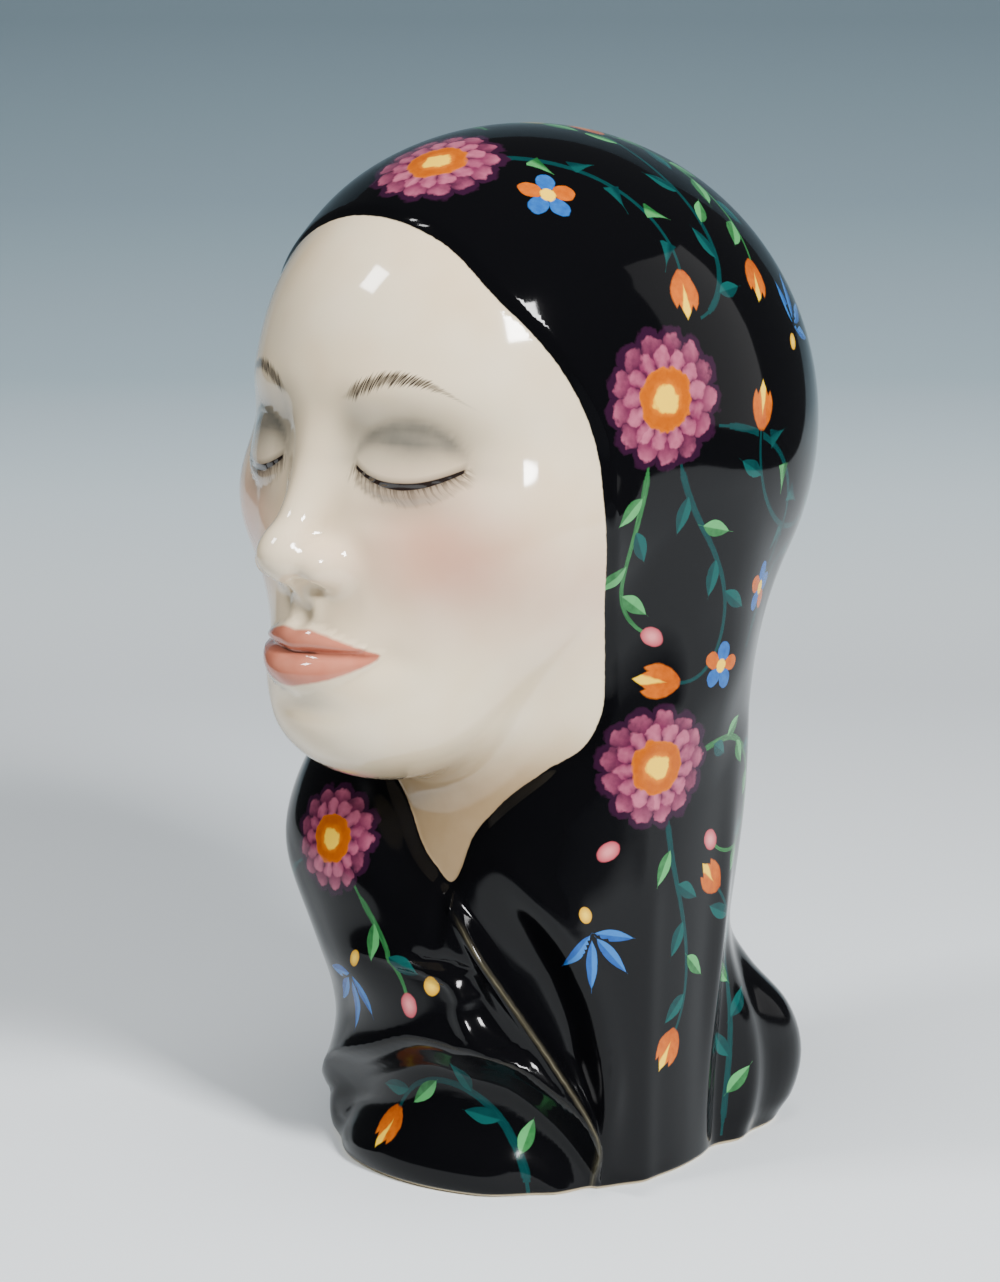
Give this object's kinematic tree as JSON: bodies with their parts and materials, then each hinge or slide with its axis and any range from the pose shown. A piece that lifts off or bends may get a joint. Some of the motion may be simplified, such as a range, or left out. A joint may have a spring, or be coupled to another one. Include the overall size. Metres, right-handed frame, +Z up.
{
  "type": "bust",
  "caption": "Glazed earthenware bust of a woman with closed eyes in a floral headscarf that wraps the neck and flares at the foot.",
  "frame": {"origin": "on the surface the bust stands on, under the middle of its bounding box", "axes": "+Z up; the face looks along -Y; the wearer's left is +X"},
  "size_m": [0.1566, 0.2314, 0.3361],
  "materials": {
    "glazed_earthenware": "high gloss glaze over a painted decoration"
  },
  "bodies": {
    "root": {"bust": "glazed_earthenware"}
  },
  "joints": []
}
